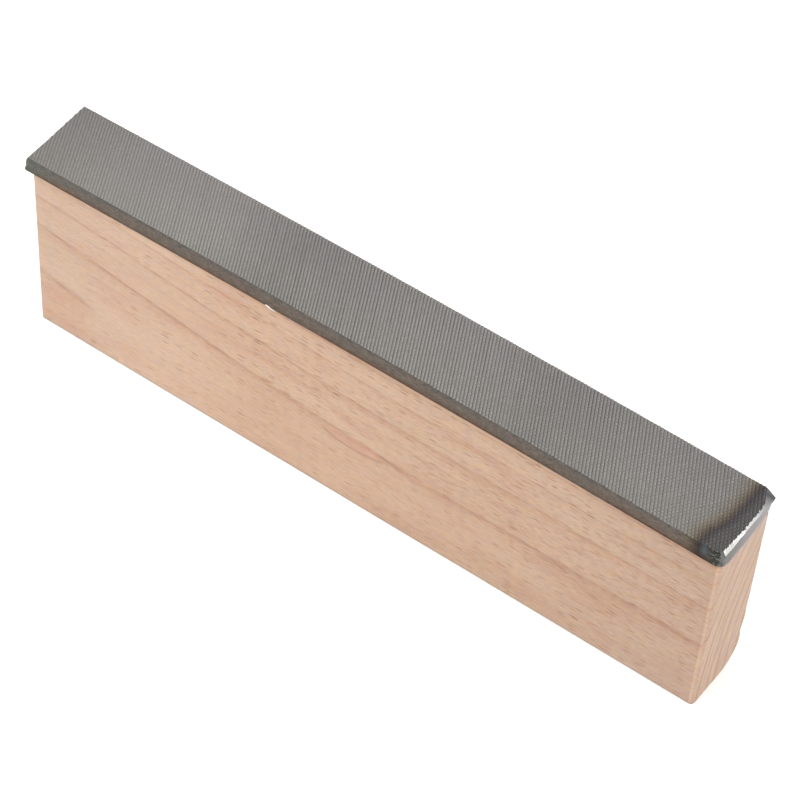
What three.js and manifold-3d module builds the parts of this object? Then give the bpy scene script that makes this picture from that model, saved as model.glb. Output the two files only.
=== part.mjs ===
// Block-mounted flat file: a double-cut steel file blade bonded, teeth up, to the narrow top
// edge of a tall beech block. Millimetres.
// Frame: +X along the tool towards the ground end of the blade, +Z up out of the toothed face,
// origin in the middle of the tool's length and width, on the plane the block stands on.
// Left is -X, right is +X, near is -Y and far is +Y.
import * as THREE from "three";
import { mergeVertices } from "three/addons/utils/BufferGeometryUtils.js";
import Module from "manifold-3d";

const wasm = await Module();
wasm.setup();

// ---- driving dimensions --------------------------------------------------------------------
const BLADE_WIDTH = 24.0; // Y
const BLADE_THICK = 5.0; // Z
const BLADE_EDGE_EASE = 0.2; // chamfer along the four long edges of the blade

const BLADE_OVERHANG = 2.0; // of the blade beyond each cheek of the block
const BLOCK_HEIGHT = 54.3; // Z at the block's ends
const BLOCK_LEFT = -103.3; // X of the block's square end
const BLOCK_RIGHT = 104.22; // X of its other end at the bottom
const END_LEAN = 0.0135; // that end leans out by this much for each mm of height

const BLOCK_EASE_NEAR = 0.4; // radius of the bottom long edge on the near side
const BLOCK_EASE_FAR = [9.5, 7.5]; // the far bottom long edge is rounded off this far in Y and Z
const BLOCK_EASE_END = 0.3; // chamfer on the bottom edge across each end
const BLOCK_EASE_CORNER = 0.2; // chamfer down three of the upright edges
const BLOCK_EASE_RIGHT = 1.6; // radius of the fourth, at the near side of the leaning end

const BOND_THICK = 0.3; // the adhesive's share of the height
const BOND_INSET = 0.3; // the film stops this far inside the block's outline
const BOND_CLEARANCE = 0.01; // left above and below the film
const BOND_CORNER_RELIEF = 0.1; // taken off the cut at the film's rounded-corner end

const CROWN_RISE = 1.0; // of the blade at mid-length over its ends; block and film follow it
const CROWN_SPAN = 208.0; // length over which the rise returns to nothing

const DROP_X = -24.8; // middle of the dried drop of adhesive under the near overhang
const DROP_SIZE = [3.0, 2.3, 0.9]; // its extent in X, Y and Z
const DROP_CHEEK_GAP = 0.03; // between the drop and the block's near cheek
const DROP_BLADE_GAP = 0.05; // between the drop and the underside of the blade

const STOCK_HALF = 107.1; // half length of the stock before the ends are cut

// ---- facet counts --------------------------------------------------------------------------
const CROWN_FACETS = 21; // along the stock
const NEAR_EASE_FACETS = 3;
const FAR_EASE_FACETS = 10;
const CORNER_FACET_ANGLES = [18, 45, 72]; // degrees in plan, turning from +X towards -Y
const DROP_SEGMENTS = [18, 12]; // around and from pole to pole

// ---- derived dimensions --------------------------------------------------------------------
const HALF_BLADE = BLADE_WIDTH / 2;
const HALF_BLOCK = HALF_BLADE - BLADE_OVERHANG;
const Z_BLADE = BLOCK_HEIGHT + BOND_THICK; // underside of the blade at its ends
const Z_TOP = Z_BLADE + BLADE_THICK; // toothed face at its ends

const crownAt = (x) => CROWN_RISE * (1 - ((2 * x) / CROWN_SPAN) ** 2);

// ---- materials -----------------------------------------------------------------------------
const steel = new THREE.MeshStandardMaterial({
  color: 0x8a8881,
  roughness: 0.42,
  metalness: 1.0,
});
const beech = new THREE.MeshStandardMaterial({
  color: 0xd8b49b,
  roughness: 0.62,
  metalness: 0.0,
});
const glue = new THREE.MeshStandardMaterial({
  color: 0x6f4c33,
  roughness: 0.35,
  metalness: 0.0,
});
const driedGlue = new THREE.MeshStandardMaterial({
  color: 0xe1d7c8,
  roughness: 0.45,
  metalness: 0.0,
});

// ---- helpers -------------------------------------------------------------------------------
// A closed three.js geometry as a manifold solid. Normals and UVs would keep the vertices
// along its seams from merging.
function solidOf(geometry) {
  const bare = geometry.clone();
  bare.deleteAttribute("normal");
  bare.deleteAttribute("uv");
  const merged = mergeVertices(bare, 1e-4);
  return new wasm.Manifold(
    new wasm.Mesh({
      numProp: 3,
      vertProperties: new Float32Array(merged.attributes.position.array),
      triVerts: new Uint32Array(merged.index.array),
    }),
  );
}

// A manifold solid as a three.js geometry.
function geometryOf(solid) {
  const { numProp, numVert, vertProperties, triVerts } = solid.getMesh();
  const positions = new Float32Array(numVert * 3);
  for (let i = 0; i < numVert; i++) {
    positions.set(vertProperties.subarray(i * numProp, i * numProp + 3), i * 3);
  }
  const geometry = new THREE.BufferGeometry()
    .setAttribute("position", new THREE.BufferAttribute(positions, 3))
    .setIndex(new THREE.BufferAttribute(new Uint32Array(triVerts), 1));
  geometry.computeVertexNormals();
  return geometry;
}

// A [y, z] outline run along X over the whole stock length. Vertices in the upper half of the
// block and above it are raised by the crown; the block's foot stays flat.
function crownedBar(outline) {
  const shape = new THREE.Shape(outline.map(([y, z]) => new THREE.Vector2(y, z)));
  const geometry = new THREE.ExtrudeGeometry(shape, {
    depth: 2 * STOCK_HALF,
    steps: CROWN_FACETS,
    bevelEnabled: false,
  });
  const position = geometry.attributes.position;
  for (let i = 0; i < position.count; i++) {
    // The extrusion has the outline in its XY plane and its length along Z.
    const x = position.getZ(i) - STOCK_HALF;
    const y = position.getX(i);
    const z = position.getY(i);
    position.setXYZ(i, x, y, z > BLOCK_HEIGHT / 2 ? z + crownAt(x) : z);
  }
  return solidOf(geometry);
}

// Everything on the outer side of a plane is removed: the plane passes through `at`, and
// `outward` points away from the material that stays.
function trim(solid, at, outward) {
  const size = 400; // more than the whole tool
  const normal = new THREE.Vector3(...outward).normalize();
  const cutter = new THREE.BoxGeometry(size, size, size);
  cutter.translate(0, 0, size / 2);
  cutter.applyQuaternion(
    new THREE.Quaternion().setFromUnitVectors(new THREE.Vector3(0, 0, 1), normal),
  );
  cutter.translate(...at);
  return solid.subtract(solidOf(cutter));
}

// The same for a plane given by three points; the side with the frame's origin stays.
function trimThrough(solid, points) {
  const [first, second, third] = points.map((point) => new THREE.Vector3(...point));
  const normal = second.sub(first).cross(third.sub(first)).normalize();
  if (normal.dot(first) < 0) normal.negate();
  return trim(solid, first.toArray(), normal.toArray());
}

// Points of an elliptical arc between two angles in degrees.
function arc([centreY, centreZ], [radiusY, radiusZ], from, to, facets) {
  return Array.from({ length: facets + 1 }, (_, i) => {
    const angle = THREE.MathUtils.degToRad(from + ((to - from) * i) / facets);
    return [centreY + radiusY * Math.cos(angle), centreZ + radiusZ * Math.sin(angle)];
  });
}

// ---- file blade ----------------------------------------------------------------------------
// Three points on an upright plane through two [x, y] points in plan.
const upright = (start, end) => [
  [...start, Z_TOP],
  [...start, Z_BLADE],
  [...end, Z_TOP],
];

// The planes that cut the blade's ends, each through three [x, y, z] points.
const NEAR_CORNER_MIDDLE = [105.3, -11.1]; // where the two near corner facets meet
const BLADE_CUTS = [
  // Left end: a skewed cut that leans in towards the top.
  [
    [-102.89, -HALF_BLADE, Z_TOP],
    [-104.87, HALF_BLADE, Z_TOP],
    [-103.75, -HALF_BLADE, Z_BLADE],
  ],
  // Ground end: an upright face, drawn back towards the far side.
  upright([105.62, -10], [105.3, 10.5]),
  // Ground end: undercut towards the far side.
  [
    [105.62, 0.5, Z_BLADE],
    [104.75, 10.3, Z_BLADE],
    [105.4, 10.3, Z_TOP],
  ],
  // The polished bevel between the toothed face and the ground end.
  [
    [104.65, -12, Z_TOP],
    [103.95, 8, Z_TOP],
    [105.6, -12, Z_TOP - 1.1],
  ],
  // Near corner of the ground end: two upright facets.
  upright([104.4, -HALF_BLADE], NEAR_CORNER_MIDDLE),
  upright(NEAR_CORNER_MIDDLE, [105.63, -10]),
  // Far corner of the ground end: one broad upright facet.
  upright([102.45, HALF_BLADE], [105.4, 10.6]),
];

function fileBlade() {
  const side = HALF_BLADE;
  const easedSide = HALF_BLADE - BLADE_EDGE_EASE;
  const easedBottom = Z_BLADE + BLADE_EDGE_EASE;
  const easedTop = Z_TOP - BLADE_EDGE_EASE;
  const stock = crownedBar([
    [-easedSide, Z_BLADE],
    [easedSide, Z_BLADE],
    [side, easedBottom],
    [side, easedTop],
    [easedSide, Z_TOP],
    [-easedSide, Z_TOP],
    [-side, easedTop],
    [-side, easedBottom],
  ]);
  return geometryOf(BLADE_CUTS.reduce(trimThrough, stock));
}

// ---- beech block ---------------------------------------------------------------------------
// A cut that follows the lean of the right end, through [x, y] at the bottom and facing
// [facingX, facingY] in plan.
const trimLeaning = (solid, [x, y], [facingX, facingY]) =>
  trim(solid, [x, y, 0], [facingX, facingY, -END_LEAN * facingX]);

function beechBlock() {
  const near = -HALF_BLOCK;
  const far = HALF_BLOCK;
  const nearRadius = BLOCK_EASE_NEAR;
  const [farEaseY, farEaseZ] = BLOCK_EASE_FAR;
  let block = crownedBar([
    [near, BLOCK_HEIGHT],
    ...arc([near + nearRadius, nearRadius], [nearRadius, nearRadius], 180, 270, NEAR_EASE_FACETS),
    ...arc([far - farEaseY, farEaseZ], BLOCK_EASE_FAR, 270, 360, FAR_EASE_FACETS),
    [far, BLOCK_HEIGHT],
  ]);

  // The two ends.
  block = trim(block, [BLOCK_LEFT, 0, 0], [-1, 0, 0]);
  block = trimLeaning(block, [BLOCK_RIGHT, 0], [1, 0]);

  // Bottom edge across each end.
  block = trim(block, [BLOCK_LEFT + BLOCK_EASE_END, 0, 0], [-1, 0, -1]);
  block = trim(block, [BLOCK_RIGHT - BLOCK_EASE_END, 0, 0], [1, 0, -1]);

  // Three upright edges, then the rounded one in facets.
  block = trim(block, [BLOCK_LEFT + BLOCK_EASE_CORNER, near, 0], [-1, -1, 0]);
  block = trim(block, [BLOCK_LEFT + BLOCK_EASE_CORNER, far, 0], [-1, 1, 0]);
  block = trimLeaning(block, [BLOCK_RIGHT - BLOCK_EASE_CORNER, far], [1, 1]);
  const radius = BLOCK_EASE_RIGHT;
  for (const degrees of CORNER_FACET_ANGLES) {
    const angle = THREE.MathUtils.degToRad(degrees);
    const facing = [Math.cos(angle), -Math.sin(angle)];
    const x = BLOCK_RIGHT - radius + radius * facing[0];
    const y = near + radius + radius * facing[1];
    block = trimLeaning(block, [x, y], facing);
  }
  return geometryOf(block);
}

// ---- adhesive film -------------------------------------------------------------------------
function adhesiveFilm() {
  const side = HALF_BLOCK - BOND_INSET;
  const bottom = BLOCK_HEIGHT + BOND_CLEARANCE;
  const top = Z_BLADE - BOND_CLEARANCE;
  let film = crownedBar([
    [-side, bottom],
    [side, bottom],
    [side, top],
    [-side, top],
  ]);
  const right = BLOCK_RIGHT + END_LEAN * BLOCK_HEIGHT - BOND_INSET;
  film = trim(film, [BLOCK_LEFT + BOND_INSET, 0, 0], [-1, 0, 0]);
  film = trim(film, [right, 0, 0], [1, 0, 0]);

  // One diagonal cut keeps the film inside the block's rounded corner.
  const setback = BLOCK_EASE_RIGHT * (2 - Math.SQRT2) - BOND_CORNER_RELIEF;
  film = trim(film, [right - setback, -side, 0], [1, -1, 0]);
  return geometryOf(film);
}

// ---- dried drop of adhesive ----------------------------------------------------------------
// An ellipsoid about its own centre, with its poles along Z.
function glueDrop() {
  const geometry = new THREE.SphereGeometry(1, ...DROP_SEGMENTS);
  geometry.rotateX(Math.PI / 2);
  geometry.scale(...DROP_SIZE.map((extent) => extent / 2));
  return geometryOf(solidOf(geometry));
}

// ---- assembly ------------------------------------------------------------------------------
function part(name, geometry, material) {
  const mesh = new THREE.Mesh(geometry, material);
  mesh.name = name;
  return mesh;
}

const block = new THREE.Group();
block.add(part("beech_block", beechBlock(), beech));

// The drop sits in the corner between the block's near cheek and the blade.
const drop = part("glue_squeeze_out", glueDrop(), driedGlue);
drop.position.set(
  DROP_X,
  -HALF_BLOCK - DROP_CHEEK_GAP - DROP_SIZE[1] / 2,
  Z_BLADE + crownAt(DROP_X) - DROP_BLADE_GAP - DROP_SIZE[2] / 2,
);

const bonded = new THREE.Group();
bonded.add(part("adhesive_film", adhesiveFilm(), glue));
bonded.add(part("file_blade", fileBlade(), steel));
bonded.add(drop);

const tool = new THREE.Group();
tool.add(block, bonded);

export default tool;
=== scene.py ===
"""A length of file blade glued on top of a beech block, on a white studio floor.

X runs along the block, from its upright, rough-cut end (-X) to its leaning, ground end (+X).
Y runs from the near side (-Y, towards the camera) to the far side, and Z is up from the block's
foot at 0. The block's top and the blade share a slight crown along X. Meshes and textures are
worked out in millimetres, the scene is in metres.
"""
import math

import bmesh
import bpy
import numpy as np
from mathutils import Matrix, Vector


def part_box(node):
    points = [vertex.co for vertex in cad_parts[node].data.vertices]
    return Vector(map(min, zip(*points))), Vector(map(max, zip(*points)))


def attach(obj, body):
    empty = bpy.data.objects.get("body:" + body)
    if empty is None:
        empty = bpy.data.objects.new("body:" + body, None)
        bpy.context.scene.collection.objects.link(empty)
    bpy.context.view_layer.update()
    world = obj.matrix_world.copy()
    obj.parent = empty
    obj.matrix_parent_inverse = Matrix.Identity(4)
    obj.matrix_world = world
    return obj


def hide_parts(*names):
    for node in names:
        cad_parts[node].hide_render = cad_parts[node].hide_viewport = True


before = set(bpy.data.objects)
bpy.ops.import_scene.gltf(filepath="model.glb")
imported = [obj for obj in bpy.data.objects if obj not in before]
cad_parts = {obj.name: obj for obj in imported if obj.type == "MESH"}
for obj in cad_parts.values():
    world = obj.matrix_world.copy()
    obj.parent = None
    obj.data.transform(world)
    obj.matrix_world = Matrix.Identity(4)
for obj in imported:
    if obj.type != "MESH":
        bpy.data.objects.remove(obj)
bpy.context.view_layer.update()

MM = 0.001


# ---------------------------------------------------------------------------------------------
# driving sizes, in millimetres
# ---------------------------------------------------------------------------------------------
def box_mm(piece):
    return [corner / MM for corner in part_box(piece)]


BLADE_MAX = box_mm("file_blade")[1]
BLOCK_MIN, BLOCK_MAX = box_mm("beech_block")
DROP_MIN, DROP_MAX = box_mm("glue_squeeze_out")

CROWN = 1.0  # rise at mid-length
CROWN_SPAN = 208.0
BOX_RISE = 0.998  # share of the frame's box heights that is crown

BLADE_TOP = BLADE_MAX.z - BOX_RISE  # toothed face at the ends
BLADE_THICK = 5.0
BLADE_FOOT = BLADE_TOP - BLADE_THICK  # underside at the ends

BLOCK_TOP = BLOCK_MAX.z - BOX_RISE  # top of the block at its ends
BLOCK_HALF = BLOCK_MAX.y  # half width
BLOCK_LEFT = BLOCK_MIN.x
BLOCK_RIGHT = 104.22  # the leaning end, at its foot
END_LEAN = 0.0135  # outward lean of that end for each mm of height
CHIP_Z = 50.6  # a small chip high on its near edge


def crown(x):
    return CROWN * (1 - (2 * np.asarray(x, float) / CROWN_SPAN) ** 2)


# ---------------------------------------------------------------------------------------------
# seeded noise on arrays
# ---------------------------------------------------------------------------------------------
def hash01(ix, iy, iz, seed):
    """A repeatable number from 0 to 1 for each whole-numbered cell."""
    bits = (
        np.asarray(ix, np.int64) * 374761393
        + np.asarray(iy, np.int64) * 668265263
        + np.asarray(iz, np.int64) * 2147483647
        + seed * 1274126177
    ) & 0xFFFFFFFF
    bits = ((bits ^ (bits >> 13)) * 1274126177) & 0xFFFFFFFF
    bits = ((bits ^ (bits >> 16)) * 2246822519) & 0xFFFFFFFF
    bits = bits ^ (bits >> 15)
    return (bits & 0xFFFFFF) / float(0x1000000)


def vnoise(x, y=0.0, z=0.0, *, seed):
    """Smooth value noise, about -1 to 1, one cell per unit."""
    point = np.broadcast_arrays(*[np.asarray(c, float) for c in (x, y, z)])
    cell = [np.floor(c) for c in point]
    part = [c - whole for c, whole in zip(point, cell)]
    part = [p * p * (3 - 2 * p) for p in part]
    total = 0.0
    for corner in np.ndindex(2, 2, 2):
        weight = 1.0
        for step, p in zip(corner, part):
            weight = weight * (p if step else 1 - p)
        total = total + weight * hash01(*[c + step for c, step in zip(cell, corner)], seed)
    return total * 2 - 1


def along(x, stations):
    """Value at x, read between (x, value) stations."""
    return np.interp(x, *zip(*stations))


# ---------------------------------------------------------------------------------------------
# mesh helpers
# ---------------------------------------------------------------------------------------------
def shade_smooth(mesh):
    mesh.polygons.foreach_set("use_smooth", np.ones(len(mesh.polygons), bool))


def new_object(name, verts_mm, faces):
    mesh = bpy.data.meshes.new(name)
    mesh.from_pydata((np.asarray(verts_mm, float) * MM).tolist(), [], faces)
    mesh.update()
    bm = bmesh.new()
    bm.from_mesh(mesh)
    bmesh.ops.recalc_face_normals(bm, faces=bm.faces)
    bm.to_mesh(mesh)
    bm.free()
    shade_smooth(mesh)
    obj = bpy.data.objects.new(name, mesh)
    bpy.context.scene.collection.objects.link(obj)
    return obj


def triangulate_caps(mesh):
    """Turn faces with a great many corners into triangles."""
    bm = bmesh.new()
    bm.from_mesh(mesh)
    caps = [face for face in bm.faces if len(face.verts) > 20]
    bmesh.ops.triangulate(bm, faces=caps, quad_method="BEAUTY", ngon_method="BEAUTY")
    bm.to_mesh(mesh)
    bm.free()
    shade_smooth(mesh)


def loft_faces(n_rings, n_points):
    """Quads between equal closed rings stored one after another, and a cap on each end."""
    faces = []
    for k in range(n_rings - 1):
        a = np.arange(n_points) + k * n_points
        b = np.roll(a, -1)
        quads = np.stack([a, b, b + n_points, a + n_points], 1)
        faces += [tuple(quad) for quad in quads.tolist()]
    faces.append(tuple(range(n_points))[::-1])
    faces.append(tuple(range((n_rings - 1) * n_points, n_rings * n_points)))
    return faces


def clip(verts, fields, quads, polys, k):
    """Keep the side of a face set where fields[:, k] < 0, cutting the faces that straddle."""
    field = fields[:, k]
    inside = field < 0
    corners_in = inside[quads].sum(1)
    kept_quads = quads[corners_in == 4]
    straddling = [tuple(quad) for quad in quads[(corners_in > 0) & (corners_in < 4)]]
    kept_polys, new_verts, new_fields = [], [], []
    made = {}

    def crossing(a, b):
        key = (min(a, b), max(a, b))
        if key not in made:
            a, b = key
            t = field[a] / (field[a] - field[b])
            new_verts.append(verts[a] * (1 - t) + verts[b] * t)
            new_fields.append(fields[a] * (1 - t) + fields[b] * t)
            made[key] = len(verts) + len(new_verts) - 1
        return made[key]

    for poly in straddling + polys:
        corner_in = [inside[i] for i in poly]
        if all(corner_in):
            kept_polys.append(poly)
            continue
        if not any(corner_in):
            continue
        result = []
        for i in range(len(poly)):
            following = (i + 1) % len(poly)
            if corner_in[i]:
                result.append(poly[i])
            if corner_in[i] != corner_in[following]:
                result.append(crossing(poly[i], poly[following]))
        if len(result) >= 3:
            kept_polys.append(tuple(result))
    if new_verts:
        verts = np.vstack([verts, np.array(new_verts)])
        fields = np.vstack([fields, np.array(new_fields)])
    return verts, fields, kept_quads, kept_polys


# ---------------------------------------------------------------------------------------------
# the file blade
# ---------------------------------------------------------------------------------------------
# Two families of chisel cuts cross each other. Directions are measured from +X towards +Y.
UP_ANGLE, UP_PITCH, UP_DEPTH = math.radians(117.2), 0.838, 0.27
OVER_ANGLE, OVER_PITCH, OVER_DEPTH = math.radians(56.0), 0.900, 0.17
CROSS_SIN = math.sin(UP_ANGLE - OVER_ANGLE)
# steps from one cut of a family to the next, along the cuts of the other family
UP_STEP = UP_PITCH / CROSS_SIN * np.array([math.cos(OVER_ANGLE), math.sin(OVER_ANGLE)])
OVER_STEP = OVER_PITCH / CROSS_SIN * np.array([math.cos(UP_ANGLE), math.sin(UP_ANGLE)])
UP_COUNT, OVER_COUNT = 124, 112  # cuts on each side of the middle

# lines of vertices within one pitch: fraction of the pitch, share of the height or the notch
UP_PROFILE = [(0.0, 0.0), (0.36, 0.50), (0.74, 1.0), (0.88, 0.38)]
OVER_PROFILE = [(0.0, 1.0), (0.34, 0.12), (0.67, 0.05)]

# factors along the blade: x, value
OVER_GAIN = [(-104, 0.25), (-60, 0.42), (-20, 0.60), (10, 0.90), (60, 1.55), (104, 2.20)]
UP_GAIN = [
    (-104, 0.66), (-84, 0.735), (-55, 0.85), (-25, 0.975),
    (5, 1.06), (60, 1.12), (86, 1.06), (104, 1.0),
]
ASKEW = [
    (-104, 0.006), (-84, 0.008), (-60, 0.022), (-25, 0.030),
    (20, 0.030), (60, 0.040), (104, 0.030),
]


def level_outline(depth, points):
    return [(x, y, depth) for x, y in points]


# Outline of the blade at several levels, as matching corners, counterclockwise from the near
# left corner. Each corner is x, y, depth below the crowned top.
END_FIRST, END_LAST = 4, 12  # the corners between which the bevel and the ground face lie
OUTLINES = [
    # edge of the toothed face
    level_outline(0, [
        (-102.7, -11.93), (103, -11.93), (103.9, -11.75), (104.45, -11.35), (104.68, -10.7),
        (104.78, -7), (104.82, -4.5), (104.82, -2), (104.72, 1), (104.68, 3.5), (104.6, 5.5),
        (104.3, 7.7), (104.05, 8.6), (102.35, 11.93), (-104.85, 11.93), (-103.88, 0),
        (-102.98, -11.4),
    ]),
    # lip of the bevel, first line on the sides
    [(-103, -12, 0.45), (103.1, -12, 0.5), (104.15, -11.92, 0.65), (105, -11.52, 1.05),
     (105.45, -10.7, 1.6), (105.53, -7, 1.46), (105.55, -4.5, 0.9), (105.56, -2, 0.54),
     (105.56, 1, 0.38), (105.55, 3.5, 0.31), (105.54, 5.5, 0.3), (105.55, 8.3, 0.3),
     (105.66, 10.62, 0.33), (102.5, 12, 0.38), (-104.95, 12, 0.4), (-103.98, 0, 0.4),
     (-103.3, -11.7, 0.45)],
    # four lines down the sides
    [(-103.2, -12, 1.1), (103.2, -12, 1.2), (104.25, -11.9, 1.3), (105.1, -11.45, 1.6),
     (105.55, -10.6, 1.95), (105.58, -7, 1.85), (105.6, -4.5, 1.6), (105.6, -2, 1.35),
     (105.58, 1, 1.15), (105.54, 3.5, 1.05), (105.5, 5.5, 1), (105.48, 8.3, 1),
     (105.55, 10.55, 1), (102.55, 12, 1), (-105.05, 12, 1.1), (-104.1, 0, 1.1),
     (-103.75, -11.75, 1.1)],
    [(-103.4, -12, 2.3), (103.3, -12, 2.4), (104.32, -11.86, 2.5), (105.06, -11.38, 2.6),
     (105.55, -10.55, 2.8), (105.62, -8, 2.7), (105.62, -4.5, 2.6), (105.62, -2, 2.5),
     (105.56, 1, 2.4), (105.48, 3.5, 2.3), (105.4, 5.5, 2.3), (105.28, 8, 2.3),
     (105.1, 10.42, 2.3), (102.6, 12, 2.3), (-105.2, 12, 2.3), (-104.35, 0, 2.3),
     (-104, -11.75, 2.3)],
    [(-103.3, -12, 3.3), (103.35, -12, 3.5), (104.32, -11.86, 3.5), (105.05, -11.38, 3.6),
     (105.6, -10.6, 3.7), (105.72, -8.6, 3.7), (105.64, -4.5, 3.7), (105.66, -2, 3.7),
     (105.6, 1, 3.7), (105.48, 3.5, 3.7), (105.38, 5.5, 3.7), (105.2, 8, 3.6),
     (104.94, 10.4, 3.6), (102.6, 12, 3.6), (-105.35, 12, 3.5), (-104.55, 0, 3.5),
     (-103.85, -11.8, 3.2)],
    [(-103.8, -12, 4.4), (103.4, -12, 4.6), (104.32, -11.85, 4.6), (105.1, -11.38, 4.6),
     (105.74, -10.65, 4.6), (105.9, -8.8, 4.6), (105.72, -4.5, 4.6), (105.74, -2, 4.6),
     (105.64, 1, 4.6), (105.5, 3.5, 4.6), (105.38, 5.5, 4.6), (105.16, 8, 4.6),
     (104.82, 10.35, 4.6), (102.6, 12, 4.6), (-105.5, 12, 4.5), (-104.75, 0, 4.5),
     (-104.25, -11.8, 4.4)],
    # into the eased bottom edge
    [(-103.9, -11.97, 4.9), (103.4, -11.97, 4.9), (104.3, -11.81, 4.9), (105.04, -11.34, 4.9),
     (105.68, -10.62, 4.88), (105.86, -8.8, 4.86), (105.68, -4.5, 4.86), (105.7, -2, 4.86),
     (105.59, 1, 4.86), (105.44, 3.5, 4.86), (105.33, 5.5, 4.86), (105.11, 8, 4.86),
     (104.76, 10.3, 4.86), (102.56, 11.96, 4.88), (-105.48, 11.96, 4.9), (-104.78, 0, 4.9),
     (-104.4, -11.78, 4.88)],
    # underside
    level_outline(BLADE_THICK, [
        (-103.95, -11.84), (103.34, -11.84), (104.2, -11.68), (104.88, -11.22),
        (105.48, -10.54), (105.64, -8.8), (105.48, -4.5), (105.5, -2), (105.4, 1),
        (105.24, 3.5), (105.13, 5.5), (104.92, 7.9), (104.6, 10.15), (102.46, 11.8),
        (-105.3, 11.8), (-104.62, 0), (-104.2, -11.62),
    ]),
    # inner ring of the underside, over the bond
    level_outline(BLADE_THICK, [
        (-101, -8.8), (100.4, -8.8), (101.2, -8.6), (101.7, -8.2), (102, -7.6), (102, -6),
        (102, -4.2), (102, -2), (102, 1), (102, 3.2), (102, 4.8), (101.9, 6.6), (101.7, 8),
        (101, 8.8), (-101.6, 8.8), (-101.8, 0), (-101.4, -8.4),
    ]),
]
N_CORNERS = len(OUTLINES[0])

# material slots of the blade
TEETH, SIDE, GROUND, BEVEL = range(4)
# where on the outline the ground end starts: wall level, corner number
GROUND_START = [(0, 3.9), (1, 4.02), (2, 4.0), (5, 3.15)]


def cut_lines(count, profile):
    """Cut number, fraction of the pitch and share, for every line of one family of cuts."""
    number = np.repeat(np.arange(-count, count + 1), len(profile))
    fraction, share = [np.tile(column, 2 * count + 1) for column in zip(*profile)]
    return number, fraction, share


def toothed_sheet():
    """One patch of quads for each tooth, aligned with the cuts: vertices, quads, crest share."""
    families = zip(cut_lines(UP_COUNT, UP_PROFILE), cut_lines(OVER_COUNT, OVER_PROFILE))
    grids = [np.meshgrid(up_line, over_line, indexing="ij") for up_line, over_line in families]
    (up, over), (up_part, over_part), (height, notch_share) = grids

    def position(up_place, over_place):
        return [up_place * UP_STEP[k] + over_place * OVER_STEP[k] for k in (0, 1)]

    x, y = position(up + up_part, over + over_part)
    mask = (np.abs(x) < 108.2) & (np.abs(y) < 13.4)  # a little more than the blade
    over_gain = along(x, OVER_GAIN)
    up_gain = along(x, UP_GAIN)

    # each blow of the chisel lands a little off its place, and between two notches each tooth
    # stands slightly askew
    up_shift = 0.022 * vnoise(up, over * 0.06, seed=11) + 0.03 * vnoise(up * 0.11, seed=12)
    over_shift = 0.045 * vnoise(over, up * 0.06, seed=13) + 0.05 * vnoise(over * 0.13, seed=14)
    up_shift = up_shift + along(x, ASKEW) * np.sin(2 * np.pi * over_part)
    x, y = position(up + up_part + up_shift, over + over_part + over_shift)
    # towards the upright end the cuts are a little wider apart and lean over more
    lean = 0.0267 * np.clip((10.0 - x) / 60.0, 0, 1)
    x = x - lean * y + 0.012 * np.minimum(x + 20.0, 0.0)

    # each blow goes a little deeper or shallower, and each tooth is a little lower or higher
    lowered = hash01(up, over, 0, 15) * height
    deep = 1.0 + 0.05 * vnoise(up, over * 0.05, seed=16)
    notch_depth = OVER_DEPTH * (1.0 + 0.22 * vnoise(over, up * 0.09, seed=17))
    cut = UP_DEPTH * deep * (1 - height)
    nick = notch_depth * over_gain * notch_share
    z = BLADE_TOP + crown(x) - cut * up_gain - nick * (0.10 + 0.90 * height * height)
    z = z - 0.045 * lowered - 0.010 * (1 + vnoise(x * 0.5, y * 0.5, 3, seed=18))

    # 0 in the gullets to 1 on the crests, for the colour's painted shade in the gullets and painted
    # highlight on the crests
    fall = cut + 0.035 * lowered + 0.6 * notch_depth * notch_share * (height - 0.35)
    crest = 1 - (fall + 0.08 * OVER_DEPTH) / (UP_DEPTH + 0.5 * OVER_DEPTH)
    crest = np.clip(0.5 + (crest - 0.5) * up_gain, 0, 1)

    index = np.full(mask.shape, -1)
    index[mask] = np.arange(mask.sum())
    verts = np.stack([x[mask], y[mask], z[mask]], 1)
    quads = np.stack(
        [index[:-1, :-1], index[1:, :-1], index[1:, 1:], index[:-1, 1:]], -1
    ).reshape(-1, 4)
    return verts, quads[(quads >= 0).all(1)], crest[mask]


def outside(points, a, b):
    """Distance to the right of the line a to b (outside, for a counterclockwise outline)."""
    run = np.array([b[0] - a[0], b[1] - a[1]], float)
    run /= np.hypot(*run)
    return (points[:, 0] - a[0]) * run[1] - (points[:, 1] - a[1]) * run[0]


def bevel_field(verts, crest):
    """Height above the bevel, a ruled surface from the edge of the toothed face to its lip."""
    end = slice(END_FIRST, END_LAST + 1)
    edge_x, edge_y, _ = np.array(OUTLINES[0][end]).T
    lip_x, _, lip_depth = np.array(OUTLINES[1][end]).T
    x, y, z = verts.T
    edge = np.interp(y, edge_y, edge_x)
    slope = np.interp(y, edge_y, np.maximum(lip_depth / (lip_x - edge_x), 1.1))
    above = z - (BLADE_TOP + crown(x) - (x - edge) * slope)
    uneven = 0.05 * vnoise(y * 1.1, seed=21) + 0.03 * vnoise(y * 3.1, seed=24)
    return above + uneven - 0.16 * (0.5 - crest)


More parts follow.
